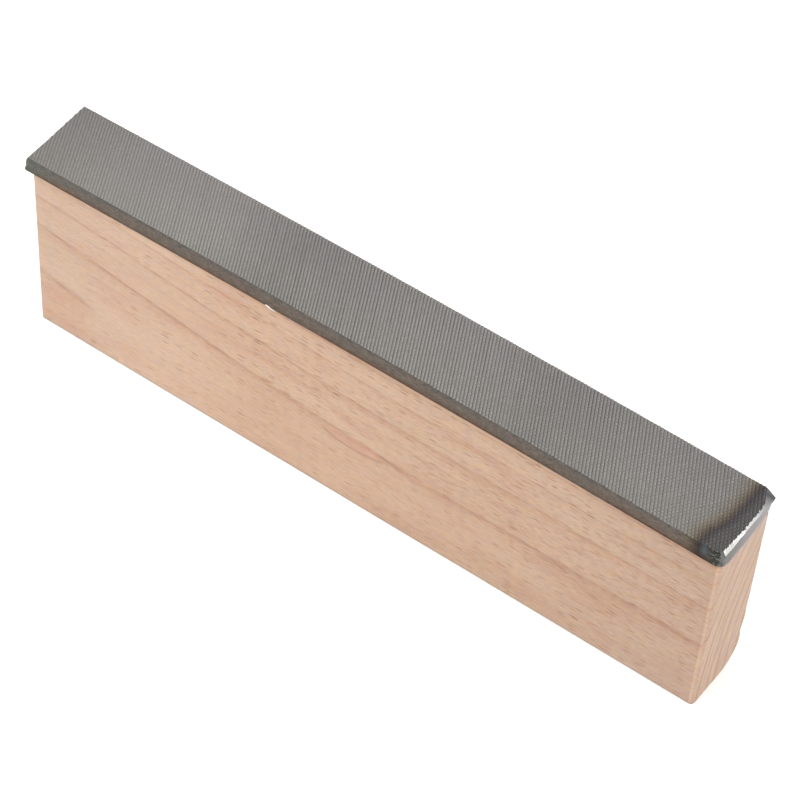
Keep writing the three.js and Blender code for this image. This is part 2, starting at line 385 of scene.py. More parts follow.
def trimmed_sheet():
    """The toothed sheet cut to the blade's outline: vertices, faces, crest share."""
    verts, quads, crest = toothed_sheet()
    top = OUTLINES[0]
    y = verts[:, 1]
    rough = 0.06 * vnoise(y * 0.9, seed=22) + 0.04 * vnoise(y * 2.3, seed=23)
    columns = [bevel_field(verts, crest)]
    for k in range(N_CORNERS):
        if END_FIRST <= k < END_LAST:
            continue
        a, b = top[k], top[(k + 1) % N_CORNERS]
        field = outside(verts, a, b)
        if a[0] < -103 and b[0] < -102.9:  # the rough-cut end
            field = field + rough
        columns.append(field)
    fields = np.stack(columns + [crest], 1)
    polys = []
    for k in range(len(columns)):
        verts, fields, quads, polys = clip(verts, fields, quads, polys, k)

    # drop vertices no face uses
    used = np.zeros(len(verts), bool)
    used[quads.ravel()] = True
    for poly in polys:
        used[list(poly)] = True
    remap = np.cumsum(used) - 1
    faces = [tuple(row) for row in remap[quads].tolist()]
    faces += [tuple(int(remap[v]) for v in poly) for poly in polys]
    return verts[used], faces, fields[used, -1]


def boundary_loop(verts, faces):
    """The vertices round the sheet's edge, counterclockwise."""
    edges = {}
    for face in faces:
        for a, b in zip(face, face[1:] + face[:1]):
            edges.setdefault((min(a, b), max(a, b)), []).append((a, b))
    follow = {}
    for uses in edges.values():
        if len(uses) == 1:
            a, b = uses[0]
            follow.setdefault(a, b)
    at = min(follow, key=lambda v: verts[v][0] + verts[v][1] * 0.01)
    loop, seen = [], set()
    while at not in seen:
        seen.add(at)
        loop.append(at)
        at = follow[at]
    loop = np.array(loop)
    x, y, _ = verts[loop].T
    area = 0.5 * np.sum(x * np.roll(y, -1) - np.roll(x, -1) * y)
    return loop[::-1] if area < 0 else loop


def place_on_outline(verts, loop):
    """The loop from its first place on, and each vertex's place: corner number plus share."""
    points = verts[loop, :2]
    corners = np.array(OUTLINES[0], float)[:, :2]
    nearest = np.full(len(loop), 1e9)
    where = np.zeros(len(loop))
    for k in range(N_CORNERS):
        a = corners[k]
        run = corners[(k + 1) % N_CORNERS] - a
        share = np.clip(((points - a) @ run) / (run @ run), 0, 1)
        distance = np.hypot(*(points - (a + share[:, None] * run)).T)
        better = distance < nearest - 1e-9
        nearest[better] = distance[better]
        where[better] = (k + share)[better]
    first = int(np.argmin(where))
    where = np.maximum.accumulate(np.minimum(np.roll(where, -first), N_CORNERS - 1e-6))
    # keep neighbours apart where the jagged edge doubles back
    for k in range(1, len(where)):
        if where[k] <= where[k - 1]:
            where[k] = where[k - 1] + 1e-5
    return np.roll(loop, -first), where


def wall_ring(level, where):
    """The vertices of one level of the walls, slightly uneven above the underside."""
    corners = np.array(OUTLINES[level])
    corner = np.minimum(where.astype(int), N_CORNERS - 1)
    share = (where - corner)[:, None]
    points = corners[corner] * (1 - share) + corners[(corner + 1) % N_CORNERS] * share
    x, y, depth = points.T
    amount = 0.020 if level < 7 else 0.0
    wobble = amount * vnoise(x * 0.35, y * 0.35, depth * 0.5, seed=31)
    wobble = wobble + 0.6 * amount * vnoise(x * 1.3, y * 1.3, depth * 0.9, seed=32)
    if level in (2, 3, 4, 5):  # the rough-cut end is coarser
        at_cut_end = np.clip((-101.5 - x) / 1.5, 0, 1)
        wobble = wobble + at_cut_end * 0.10 * vnoise(y * 1.1, depth * 1.6, seed=33)
    out_x = np.where(np.abs(x) > 102.5, np.sign(x), 0.0)
    out_y = np.where(np.abs(y) > 11.0, np.sign(y), 0.0)
    z = BLADE_TOP + crown(x) - depth
    return np.stack([x + out_x * wobble, y + out_y * wobble, z], 1)


def build_blade():
    verts, faces, crest = trimmed_sheet()
    n_teeth = len(faces)
    loop, where = place_on_outline(verts, boundary_loop(verts, faces))
    n_loop = len(loop)

    all_verts = [verts]
    ring = loop
    for level in range(1, len(OUTLINES)):
        lower = len(verts) + (level - 1) * n_loop + np.arange(n_loop)
        all_verts.append(wall_ring(level, where))
        quads = np.stack([ring, lower, np.roll(lower, -1), np.roll(ring, -1)], 1)
        faces += [tuple(quad) for quad in quads.tolist()]
        ring = lower
    faces.append(tuple(ring.tolist()))  # underside

    obj = new_object("file_blade_teeth", np.vstack(all_verts), faces)
    mesh = obj.data
    values = np.full(len(mesh.vertices), 0.5, np.float32)
    values[: len(crest)] = crest
    mesh.attributes.new("crest", "FLOAT", "POINT").data.foreach_set("value", values)
    triangulate_caps(mesh)
    mesh.set_sharp_from_angle(angle=math.radians(38))

    slots = np.full(len(mesh.polygons), SIDE, np.int32)
    slots[:n_teeth] = TEETH
    for level in range(6):
        at_end = (where >= along(level, GROUND_START)) & (where < END_LAST + 1)
        start = n_teeth + level * n_loop
        end_slot = BEVEL if level == 0 else GROUND
        slots[start : start + n_loop] = np.where(at_end, end_slot, SIDE)
    mesh.polygons.foreach_set("material_index", slots)
    return obj


# ---------------------------------------------------------------------------------------------
# the beech block
# ---------------------------------------------------------------------------------------------
TOP_RADIUS = 0.20
EASE_REACH = 6  # how far from an edge the easing draws a side in
EASE_ANGLES = (90, 72, 54, 36, 18, 0)  # rings round the eased edge, from the end face out
END_SHRINKS = (0.55, 0.86, 0.97)  # rings on the end face, as shares of its outline
MIDDLE_RINGS = np.arange(-101.0, 101.1, 2.0)


def block_outline(x):
    """(y, z) points and outward normals, counterclockwise seen from +X, from the near top."""
    near_r = 0.40 + 0.08 * float(vnoise(x * 0.05, seed=41))
    far_y = 9.5 + 0.5 * float(vnoise(x * 0.020, seed=42))
    far_z = 7.5 + 0.4 * float(vnoise(x * 0.025, seed=40))
    top = BLOCK_TOP + float(crown(x)) - 0.004
    side_top = top - TOP_RADIUS
    half = BLOCK_HALF
    points, normals = [], []

    def line(start, end, count, normal):
        for k in range(count):
            points.append([a + (b - a) * (k / count) for a, b in zip(start, end)])
            normals.append(normal)

    def arc(y, z, radius_y, radius_z, first, last, count):
        for k in range(count + 1):
            angle = math.radians(first + (last - first) * k / count)
            cos, sin = math.cos(angle), math.sin(angle)
            points.append((y + radius_y * cos, z + radius_z * sin))
            length = math.hypot(cos / radius_y, sin / radius_z)
            normals.append((cos / radius_y / length, sin / radius_z / length))

    arc(-half + TOP_RADIUS, side_top, TOP_RADIUS, TOP_RADIUS, 90, 180, 3)
    line((-half, side_top - 0.6), (-half, near_r + 0.6), 44, (-1, 0))
    arc(-half + near_r, near_r, near_r, near_r, 180, 270, 4)
    line((-half + near_r + 0.8, 0), (half - far_y - 0.6, 0), 8, (0, -1))
    arc(half - far_y, far_z, far_y, far_z, 270, 360, 22)
    line((half, far_z + 0.9), (half, side_top - 0.6), 40, (1, 0))
    arc(half - TOP_RADIUS, side_top, TOP_RADIUS, TOP_RADIUS, 0, 90, 3)
    line((half - TOP_RADIUS - 0.8, top), (-half + TOP_RADIUS + 0.8, top), 10, (0, 1))
    return np.array(points), np.array(normals)


def end_easing(end):
    """Reach of an end's rounded edges: blended round the outline, then near, far, low, high."""
    points, normals = block_outline(0.0)
    z = points[:, 1]
    normal_y, normal_z = normals.T
    near = 1.60 if end > 0 else 0.28
    near = near * (1 + 0.10 * vnoise(z * 0.11, end * 3.0, seed=43))
    if end > 0:
        near = near + 0.55 * np.exp(-(((z - CHIP_Z) / 0.9) ** 2))
    far = 0.24 * (1 + 0.25 * vnoise(z * 0.2, 5, end, seed=47))
    low, high = 0.34, 0.16
    reach = np.where(normal_z < -0.35, low, np.where(normal_z > 0.5, high, far))
    reach = np.where(normal_y < -0.5, near, reach)
    for _ in range(4):
        reach = (np.roll(reach, 1) + reach * 2 + np.roll(reach, -1)) / 4
    return reach, (near, far, low, high)


def drawn_in(points, easing, share):
    """The outline with each side drawn in by its share of the easing."""
    near, far, low, high = easing
    y, z = points.T
    top = z.max()
    y = y + share * near * np.clip(1 - (y + BLOCK_HALF) / EASE_REACH, 0, 1)
    y = y - share * far * np.clip(1 - (BLOCK_HALF - y) / EASE_REACH, 0, 1)
    z = z + share * low * np.clip(1 - z / EASE_REACH, 0, 1)
    z = z - share * high * np.clip(1 - (top - z) / EASE_REACH, 0, 1)
    return np.stack([y, z], 1)


def end_face_x(end, points):
    y, z = points.T
    if end < 0:
        return BLOCK_LEFT + 0.02 * (1 + vnoise(z * 0.3, y * 0.3, seed=46))
    return BLOCK_RIGHT + END_LEAN * z + 0.02 * vnoise(z * 0.3, y * 0.3, 7, seed=46) - 0.01


def end_rings(end):
    """Rings of one end (-1 upright, 1 leaning), from the middle of its face outwards."""
    points, normals = block_outline(BLOCK_LEFT if end < 0 else BLOCK_RIGHT)
    reach, easing = end_easing(end)
    flat = drawn_in(points, easing, 1.0)
    centre = np.array([0.0, BLOCK_TOP / 2])
    rings = []
    for shrink in END_SHRINKS:
        inner = centre + (flat - centre) * shrink
        rings.append((end_face_x(end, inner), inner, normals))
    for angle in map(math.radians, EASE_ANGLES):
        eased = drawn_in(points, easing, 1 - math.cos(angle))
        depth = reach * (1 - math.sin(angle))
        rings.append((end_face_x(end, eased) - end * depth, eased, normals))
    return rings


def uneven_ring(x, points, normals):
    """Ring vertices with the sides slightly uneven and a hollow in the far side."""
    y, z = points.T
    amount = 0.022
    wobble = amount * vnoise(x * 0.05, y * 0.2 + 9, z * 0.12, seed=44)
    wobble = wobble + 0.5 * amount * vnoise(x * 0.16, y * 0.5 + 3, z * 0.45, seed=45)
    below_top = np.where(normals[:, 1] > 0.5, 0.0, 1.0)
    y = y - normals[:, 0] * (amount * 1.5 - wobble) * below_top * 0.6
    # the shallow hollow deepens towards the leaning end
    t = np.clip((x - 88.0) / 14.0, 0, 1)
    hollow = 0.80 * np.exp(-(((z - 11.0) / 2.0) ** 2)) + 0.25 * np.exp(-(((z - 6.8) / 1.6) ** 2))
    y = y - np.where(normals[:, 0] > 0.3, 1.0, 0.0) * t * t * (3 - 2 * t) * hollow
    return np.stack([x, y, z], 1)


def build_block():
    """A loft along X of the block's outline, with the edges of its ends eased by hand."""
    rings = end_rings(-1)
    for x in MIDDLE_RINGS:
        points, normals = block_outline(x)
        rings.append((np.full(len(points), x), points, normals))
    rings += end_rings(1)[::-1]
    verts = [uneven_ring(*ring) for ring in rings]
    faces = loft_faces(len(verts), len(verts[0]))
    obj = new_object("beech_block_wood", np.vstack(verts), faces)
    triangulate_caps(obj.data)
    obj.data.set_sharp_from_angle(angle=math.radians(50))
    return obj


# ---------------------------------------------------------------------------------------------
# the adhesive: film with an uneven edge, and the dried drop
# ---------------------------------------------------------------------------------------------
def build_film():
    gap = 0.012  # clearance to the wood and to the steel
    inset = 0.35  # from the block's ends
    x = np.linspace(BLOCK_LEFT + inset, BLOCK_RIGHT + END_LEAN * BLOCK_TOP - inset, 300)
    half = BLOCK_HALF - 0.25
    near = half + 0.22 * vnoise(x * 0.11, seed=51) + 0.12 * vnoise(x * 0.6, seed=52)
    far = half + 0.22 * vnoise(x * 0.13, 5, seed=53) + 0.12 * vnoise(x * 0.7, 5, seed=54)
    # the near edge keeps inside the block's rounded corner
    near = near - 1.1 * np.maximum(0.0, (x - (x[-1] - 1.2)) / 1.2)
    low = BLOCK_TOP + gap + crown(x)
    high = BLADE_FOOT - gap + crown(x)
    mid = (low + high) / 2
    section = [
        (-near + 0.10, low), (-near - 0.05, mid - 0.06), (-near - 0.05, mid + 0.06),
        (-near + 0.10, high), (0.0, high), (far - 0.10, high),
        (far + 0.05, mid + 0.06), (far + 0.05, mid - 0.06), (far - 0.10, low), (0.0, low),
    ]
    lines = [np.stack(np.broadcast_arrays(x, y, z), 1) for y, z in section]
    verts = np.stack(lines, 1).reshape(-1, 3)
    obj = new_object("adhesive_film_edge", verts, loft_faces(len(x), len(section)))
    obj.data.set_sharp_from_angle(angle=math.radians(50))
    return obj


def build_drop():
    """A flake of dried glue that hangs from the near bottom edge of the blade."""
    middle = (DROP_MIN.x + DROP_MAX.x) / 2
    around, stacks = 28, 18
    ball = []
    for i in range(1, stacks):
        tilt = math.pi * i / stacks
        for j in range(around):
            turn = 2 * math.pi * j / around
            radius = math.sin(tilt)
            ball.append((math.cos(tilt), radius * math.cos(turn), radius * math.sin(turn)))
    ball = np.array(ball + [(1.0, 0, 0), (-1.0, 0, 0)])
    lumps = 1 + 0.16 * vnoise(*(ball * 1.7).T, seed=61) + 0.07 * vnoise(*(ball * 4.1).T, seed=62)
    ball_x, ball_y, ball_z = (ball * lumps[:, None]).T
    t = (ball_x + 1) / 2  # 0 at -X to 1 at +X, where the flake is thinner and hangs lower
    x = middle + ball_x * 1.45
    y = -12.02 + ball_y * (0.30 - 0.10 * t) + 0.30 * t + 0.75 * np.clip(ball_y, 0, 1)
    z = BLADE_FOOT + float(crown(middle)) + 0.34 + ball_z * (0.50 - 0.26 * t) - 0.80 * t

    faces = []
    for i in range(stacks - 2):
        upper, lower = i * around, (i + 1) * around
        for j in range(around):
            k = (j + 1) % around
            faces.append((upper + j, upper + k, lower + k, lower + j))
    last = (stacks - 2) * around
    right_tip = last + around
    for j in range(around):
        k = (j + 1) % around
        faces.append((right_tip, k, j))
        faces.append((right_tip + 1, last + j, last + k))
    return new_object("glue_drop", np.stack([x, y, z], 1), faces)


# ---------------------------------------------------------------------------------------------
# a short way to write node trees
# ---------------------------------------------------------------------------------------------
def srgb(*channels):
    """sRGB 0..255 to linear, with alpha."""
    shares = [c / 255.0 for c in channels]
    return (
        *[c / 12.92 if c <= 0.04045 else ((c + 0.055) / 1.055) ** 2.4 for c in shares], 1.0
    )


def operator(operation, swapped=False):
    def method(self, other):
        pair = (other, self) if swapped else (self, other)
        return self.nodes.math(operation, *pair)

    return method


class Value:
    """A node output. Arithmetic on it makes math nodes."""

    def __init__(self, nodes, socket):
        self.nodes = nodes
        self.socket = socket

    __add__ = operator("ADD")
    __sub__ = operator("SUBTRACT")
    __rsub__ = operator("SUBTRACT", swapped=True)
    __mul__ = operator("MULTIPLY")
    __rmul__ = operator("MULTIPLY", swapped=True)
    __truediv__ = operator("DIVIDE")
    __pow__ = operator("POWER")

    def __abs__(self):
        return self.nodes.math("ABSOLUTE", self)


class Nodes:
    """A material's node tree. Most methods make one node and return its output."""

    INPUTS = {
        "color": "Base Color", "metallic": "Metallic", "roughness": "Roughness",
        "normal": "Normal", "specular": "Specular IOR Level",
        "emission": "Emission Color", "glow": "Emission Strength",
    }

    def __init__(self, name):
        self.material = bpy.data.materials.new(name)
        self.material.use_nodes = True
        self.tree = self.material.node_tree
        self.tree.nodes.clear()

    def put(self, socket, value):
        if isinstance(value, Value):
            self.tree.links.new(value.socket, socket)
            return
        if hasattr(socket.default_value, "__len__") and not hasattr(value, "__len__"):
            value = [value] * len(socket.default_value)
        socket.default_value = value

    def node(self, kind, inputs=None, **props):
        node = self.tree.nodes.new(kind)
        for key, value in props.items():
            setattr(node, key, value)
        for key, value in (inputs or {}).items():
            self.put(node.inputs[key], value)
        return node

    def make(self, kind, inputs=None, output=0, **props):
        return Value(self, self.node(kind, inputs, **props).outputs[output])

    def math(self, operation, *values, clamp=False):
        inputs = dict(enumerate(values))
        return self.make("ShaderNodeMath", inputs, operation=operation, use_clamp=clamp)

    def falloff(self, value):
        """1 - value, and 0 where that is negative."""
        return self.math("SUBTRACT", 1.0, value, clamp=True)

    def centred(self, noise, span):
        """Noise about 0.5 turned into noise about 0."""
        return (noise - 0.5) * span

    def millimetres(self):
        """Object coordinates in millimetres."""
        place = self.make("ShaderNodeTexCoord", output="Object")
        inputs = {0: place, "Scale": 1 / MM}
        return self.make("ShaderNodeVectorMath", inputs, operation="SCALE")

    def place(self):
        """x, y and z in millimetres. They are also kept for cloud()."""
        self.vector = self.millimetres()
        self.axes = self.split(self.vector)
        return self.axes

    def split(self, vector):
        node = self.node("ShaderNodeSeparateXYZ", {0: vector})
        return [Value(self, node.outputs[k]) for k in range(3)]

    def vec(self, x, y, z):
        return self.make("ShaderNodeCombineXYZ", {0: x, 1: y, 2: z})

    def noise(self, vector, scale=1.0, detail=2.0, rough=0.5):
        inputs = {"Vector": vector, "Scale": scale, "Detail": detail, "Roughness": rough}
        return self.make("ShaderNodeTexNoise", inputs, output="Fac")

    def cloud(self, stretch, offset=(0, 0, 0), of=None, **look):
        """Noise of x, y and z, or of other axes, each multiplied by its stretch and offset."""
        spread = []
        for axis, factor, shift in zip(of or self.axes, stretch, offset):
            if factor == 0:
                spread.append(shift)
                continue
            value = axis if factor == 1 else axis * factor
            spread.append(value + shift if shift else value)
        return self.noise(self.vec(*spread), **look)

    def voronoi(self, vector, scale=1.0):
        """Distance and colour of the nearest cell."""
        node = self.node("ShaderNodeTexVoronoi", {"Vector": vector, "Scale": scale})
        return [Value(self, node.outputs[key]) for key in ("Distance", "Color")]

    def channel(self, color, index):
        return self.make("ShaderNodeSeparateColor", {0: color}, output=index)

    def ramp(self, value, stops):
        """Colours, or greys, at (position, colour) stops."""
        node = self.node("ShaderNodeValToRGB", {0: value})
        elements = node.color_ramp.elements
        while len(elements) > 1:
            elements.remove(elements[-1])
        for i, (position, color) in enumerate(stops):
            element = elements[0] if i == 0 else elements.new(position)
            element.position = position
            element.color = color if hasattr(color, "__len__") else (color, color, color, 1)
        return Value(self, node.outputs[0])

    def ramp_over(self, value, low, high, stops):
        """A ramp whose stops stand at values between low and high."""
        stops = [((at - low) / (high - low), color) for at, color in stops]
        return self.ramp(self.range(value, over=(low, high)), stops)

    def range(self, value, over, to=(0.0, 1.0), smooth=False):
        """Map the values in over to the values in to, clamped."""
        inputs = dict(enumerate((value, *over, *to)))
        kind = "SMOOTHSTEP" if smooth else "LINEAR"
        return self.make("ShaderNodeMapRange", inputs, interpolation_type=kind)

    def mix(self, share, a, b, blend="MIX"):
        inputs = {0: share, 6: a, 7: b}
        return self.make("ShaderNodeMix", inputs, output=2, data_type="RGBA", blend_type=blend)

    def shade(self, base, factor, share=None):
        """The base colour multiplied by factor, wholly or by a share."""
        product = self.mix(1.0, base, factor, blend="MULTIPLY")
        return product if share is None else self.mix(share, base, product)

    def patches(self, base, noise, over, share, color):
        """Another colour mixed in, up to share, where the noise rises through over."""
        return self.mix(self.range(noise, over=over, to=(0.0, share)), base, color)

    def curve(self, value, points):
        """A smooth curve of value, through (x, y) points with x and y in 0..1."""
        node = self.node("ShaderNodeFloatCurve", {1: value})
        curve = node.mapping.curves[0]
        for i, (x, y) in enumerate(points):
            if i < 2:
                curve.points[i].location = (x, y)
            else:
                curve.points.new(x, y)
        node.mapping.update()
        return Value(self, node.outputs[0])

    def bump(self, height, strength, distance):
        inputs = {"Height": height, "Strength": strength, "Distance": distance}
        return self.make("ShaderNodeBump", inputs)

    def surface(self, **values):
        inputs = {self.INPUTS[key]: value for key, value in values.items()}
        shader = self.node("ShaderNodeBsdfPrincipled", inputs)
        output = self.node("ShaderNodeOutputMaterial")
        self.tree.links.new(shader.outputs[0], output.inputs[0])
        return self.material


# ---------------------------------------------------------------------------------------------
# steel
# ---------------------------------------------------------------------------------------------
# multiplier on the steel's colour, by mm beyond the line of the grinding heat
HEAT_TINT = [
    (-6.0, (1.0, 1.0, 1.0, 1)), (-4.2, (0.96, 0.94, 0.90, 1)), (-2.8, (0.88, 0.83, 0.74, 1)),
    (-1.7, (0.70, 0.63, 0.53, 1)), (-0.8, (0.49, 0.42, 0.37, 1)), (0.0, (0.35, 0.32, 0.33, 1)),
    (0.8, (0.37, 0.36, 0.39, 1)), (2.0, (0.46, 0.46, 0.49, 1)), (4.0, (0.46, 0.46, 0.46, 1)),
    (6.0, (0.50, 0.50, 0.48, 1)),
]
# the bevel's colour across the blade, by y: polished steel with a painted reflection, brightest at
# the middle and dimmer towards the far side
BEVEL_SHEEN_COLORS = [
    (-10.6, srgb(204, 205, 200)), (-7.0, srgb(202, 203, 198)), (-4.8, srgb(218, 218, 217)),
    (-3.0, srgb(240, 240, 240)), (0.0, srgb(255, 255, 255)), (3.0, srgb(250, 250, 251)),
    (4.8, srgb(220, 219, 218)), (7.0, srgb(194, 192, 191)), (8.8, srgb(162, 160, 160)),
    (10.2, srgb(113, 111, 112)), (11.2, srgb(126, 124, 125)), (11.9, srgb(138, 136, 136)),
]


def heat_tinted(mat, base):
    """The tinted colour, and the distance in mm beyond the line where heat darkened the steel."""
    x, y, z = mat.axes
    # the line lies further from the end on the near side
    across = mat.math("DIVIDE", y + 12.0, 24.0, clamp=True)
    bend = mat.curve(across, [(0.0, 0.05), (0.16, 0.16), (0.33, 0.60), (0.55, 0.88), (1.0, 0.95)])
    line_x = mat.range(bend, over=(0.0, 1.0), to=(98.8, 101.7))
    wobble = mat.centred(mat.cloud(stretch=(0.25, 0.45, 0.3)), span=0.7)
    beyond = x - line_x + wobble
    return mat.shade(base, mat.ramp_over(beyond, -6.0, 6.0, HEAT_TINT)), beyond


def steel_teeth():
    mat = Nodes("steel_teeth")
    x, y, z = mat.place()
    crest = mat.make("ShaderNodeAttribute", output="Fac", attribute_name="crest")
    # painted shade and highlight: dark in the gullets, pale on the crests
    base = mat.ramp(crest, [
        (0.0, srgb(116, 112, 106)), (0.35, srgb(148, 145, 139)),
        (0.75, srgb(182, 178, 172)), (1.0, srgb(208, 204, 199)),
    ])
    # patches left by hardening, and a finer cloud
    big = mat.cloud(stretch=(0.03, 0.09, 0), detail=3.0, rough=0.55)
    base = mat.patches(base, big, over=(0.40, 0.72), share=0.30, color=srgb(158, 153, 147))
    fine = mat.noise(mat.vector, scale=1.4, detail=3.0, rough=0.6)
    base = mat.shade(base, mat.ramp(fine, [(0.25, 0.86), (0.75, 1.10)]))
    purple = mat.cloud(stretch=(0.11, 0.2, 0), offset=(0, 0, 4.0))
    base = mat.patches(base, purple, over=(0.5, 0.8), share=0.20, color=srgb(166, 156, 160))
    green = mat.cloud(stretch=(0.13, 0.22, 0), offset=(0, 0, 9.0))
    base = mat.patches(base, green, over=(0.5, 0.8), share=0.20, color=srgb(156, 162, 152))
    # uneven brightness along and across the blade
    base = mat.shade(base, mat.ramp(mat.range(x, over=(-104.0, 106.0)), [
        (0.0, 0.895), (0.10, 1.03), (0.25, 1.075), (0.36, 0.925), (0.45, 0.965),
        (0.55, 1.01), (0.65, 0.985), (0.74, 0.905), (0.85, 0.95), (1.0, 0.915),
    ]))
    base = mat.shade(base, mat.ramp(mat.range(y, over=(-12.0, 12.0)), [
        (0.0, (1.02, 1.02, 1.04, 1)), (0.3, (1.03, 1.03, 1.05, 1)),
        (0.6, (0.99, 0.99, 1.03, 1)), (1.0, (0.94, 0.94, 0.98, 1)),
    ]))
    base, _ = heat_tinted(mat, base)
    rough = mat.range(crest, over=(0.0, 1.0), to=(0.52, 0.36)) + mat.centred(fine, span=0.16)
    grain = mat.noise(mat.vector, scale=9.0, detail=3.0, rough=0.65)
    normal = mat.bump(grain, strength=0.25, distance=0.00003)
    return mat.surface(color=base, metallic=1.0, roughness=rough, normal=normal)


def steel_side():
    mat = Nodes("steel_side")
    x, y, z = mat.place()
    # share of the thickness above the underside, following the crown
    rise = CROWN - (x * (2 / CROWN_SPAN)) ** 2.0
    height = (z - BLADE_FOOT - rise) / BLADE_THICK
    # painted reflection and shade: the lowest part of the side turns dark brown, standing in for
    # the wood reflected in its lower edge and the shade along it
    base = mat.ramp(height, [
        (0.0, srgb(66, 46, 33)), (0.07, srgb(80, 58, 44)), (0.15, srgb(96, 78, 64)),
        (0.30, srgb(106, 93, 82)), (0.6, srgb(106, 97, 89)), (0.9, srgb(100, 93, 87)),
        (1.0, srgb(98, 92, 86)),
    ])
    cool = mat.cloud(stretch=(0.10, 0.1, 0.35), detail=3.0, rough=0.6)
    base = mat.patches(base, cool, over=(0.48, 0.70), share=0.45, color=srgb(91, 95, 91))
    warm = mat.cloud(stretch=(0.07, 0, 0.3), offset=(0, 3.0, 0), detail=3.0, rough=0.6)
    base = mat.patches(base, warm, over=(0.50, 0.72), share=0.40, color=srgb(107, 87, 79))
    fine = mat.cloud(stretch=(0.9, 1, 2.2), scale=1.3, detail=4.0, rough=0.65)
    base = mat.shade(base, mat.ramp(fine, [(0.30, 0.50), (0.5, 0.95), (0.70, 1.34)]))
    blot = mat.cloud(stretch=(0.42, 1, 0.9), detail=3.0, rough=0.6)
    base = mat.shade(base, mat.ramp(blot, [(0.3, 0.82), (0.7, 1.16)]))
    speck, _ = mat.voronoi(mat.vector, scale=0.55)
    speck = mat.range(speck, over=(0.10, 0.16), to=(0.35, 0.0))
    base = mat.mix(speck, base, srgb(70, 66, 62))
    # greyer at the rough-cut end
    base = mat.shade(base, (0.84, 1.04, 1.07, 1), share=mat.range(x, over=(-92.0, -101.0)))

    # heat colours, deeper than on the teeth, with a blue band
    base, beyond = heat_tinted(mat, base)
    base = mat.shade(base, mat.ramp(mat.range(beyond, over=(-2.0, 6.0)), [
        (0.0, 1.0), (0.12, 0.96), (0.25, (0.80, 0.76, 0.70, 1)), (0.42, (0.84, 0.82, 0.78, 1)),
        (0.65, 0.98), (1.0, 1.18),
    ]))
    blue = mat.falloff(abs(beyond - 1.6) * 0.8)
    blue = blue * mat.range(height, over=(0.2, 0.5), to=(0.0, 0.50))
    base = mat.mix(blue, base, srgb(84, 103, 111))

    # dark scale, and pale scale spots with painted highlights on them, on the corner by the ground
    # end
    scale = mat.noise(mat.vector, scale=1.25, detail=2.0, rough=0.6)
    corner = mat.range(x, over=(101.2, 103.0))
    dark_scale = corner * mat.range(scale, over=(0.32, 0.44))
    base = mat.mix(dark_scale, base, srgb(45, 48, 43))
    pale_scale_and_glints = corner * mat.range(scale, over=(0.53, 0.62))
    base = mat.mix(pale_scale_and_glints, base, srgb(104, 107, 98))
    # a painted highlight: a paler rounded strip where the corner turns into the ground end
    near = mat.range(y, over=(-11.88, -11.50))
    raised = mat.range(z, over=(BLADE_FOOT + 0.4, BLADE_FOOT + 1.6))
    strip = mat.range(x, over=(104.35, 104.80)) * (near * raised)
    strip = strip * mat.range(scale, over=(0.35, 0.55), to=(0.30, 0.65))
    base = mat.mix(strip, base, srgb(138, 139, 136))

    rough = mat.range(fine, over=(0.2, 0.8), to=(0.40, 0.60))
    scratches = mat.cloud(stretch=(0.6, 3.0, 7.0), detail=3.0, rough=0.6)
    pits = scratches * 0.3 + corner * scale * 2.5
    normal = mat.bump(pits, strength=0.60, distance=0.00010)
    return mat.surface(color=base, metallic=0.85, roughness=rough, normal=normal)


def ground_surface(mat, base, lines, roughness):
    """Bright steel with the fine relief of the grinding lines."""
    rough = mat.range(lines, over=(0.2, 0.8), to=roughness)
    normal = mat.bump(lines, strength=0.30, distance=0.00003)
    return mat.surface(color=base, metallic=1.0, roughness=rough, normal=normal)


def steel_ground():
    mat = Nodes("steel_ground")
    x, y, z = mat.place()
    # fine lines left by the grinding wheel, down the face
    lines = mat.cloud(stretch=(0.7, 5.0, 0.6), detail=3.0, rough=0.6)
    base = mat.mix(mat.range(lines, over=(0.3, 0.7)), srgb(123, 120, 119), srgb(137, 134, 132))
    lavender = mat.cloud(stretch=(0, 0.28, 0.5))
    base = mat.patches(base, lavender, over=(0.40, 0.65), share=0.5, color=srgb(129, 119, 123))
    near = mat.range(y, over=(-2.2, -4.6), smooth=True)
    base = mat.mix(near * 0.75, base, srgb(109, 109, 106))
    # warmer along the foot, darker at the far side and at the near upper corner
    low = mat.range(z, over=(BLADE_FOOT + 1.7, BLADE_FOOT + 0.1))
    base = mat.mix(low * 0.8, base, mat.ramp(mat.range(y, over=(-10.0, 8.0)), [
        (0.0, srgb(128, 118, 108)), (0.5, srgb(142, 132, 127)), (1.0, srgb(152, 140, 135)),
    ]))
    far = mat.range(y, over=(8.0, 11.4))
    base = mat.shade(base, mat.ramp(far, [(0.0, 1.0), (0.6, 0.82), (1.0, 0.76)]))
    upper = mat.range(z, over=(BLADE_FOOT + 1.2, BLADE_FOOT + 2.0))
    tip = mat.range(y, over=(-10.35, -10.85)) * upper
    base = mat.mix(tip * 0.7, base, srgb(80, 81, 76))
    return ground_surface(mat, base, lines, roughness=(0.30, 0.42))


def steel_bevel():
    mat = Nodes("steel_bevel")
    x, y, z = mat.place()
    lines = mat.cloud(stretch=(0.7, 4.0, 0.7), detail=3.0, rough=0.6)
    # polished steel, with a painted reflection across the bevel
    base = mat.ramp_over(y, -11.0, 12.0, BEVEL_SHEEN_COLORS)
    base = mat.shade(base, mat.ramp(lines, [(0.3, 0.90), (0.7, 1.07)]))
    return ground_surface(mat, base, lines, roughness=(0.26, 0.40))


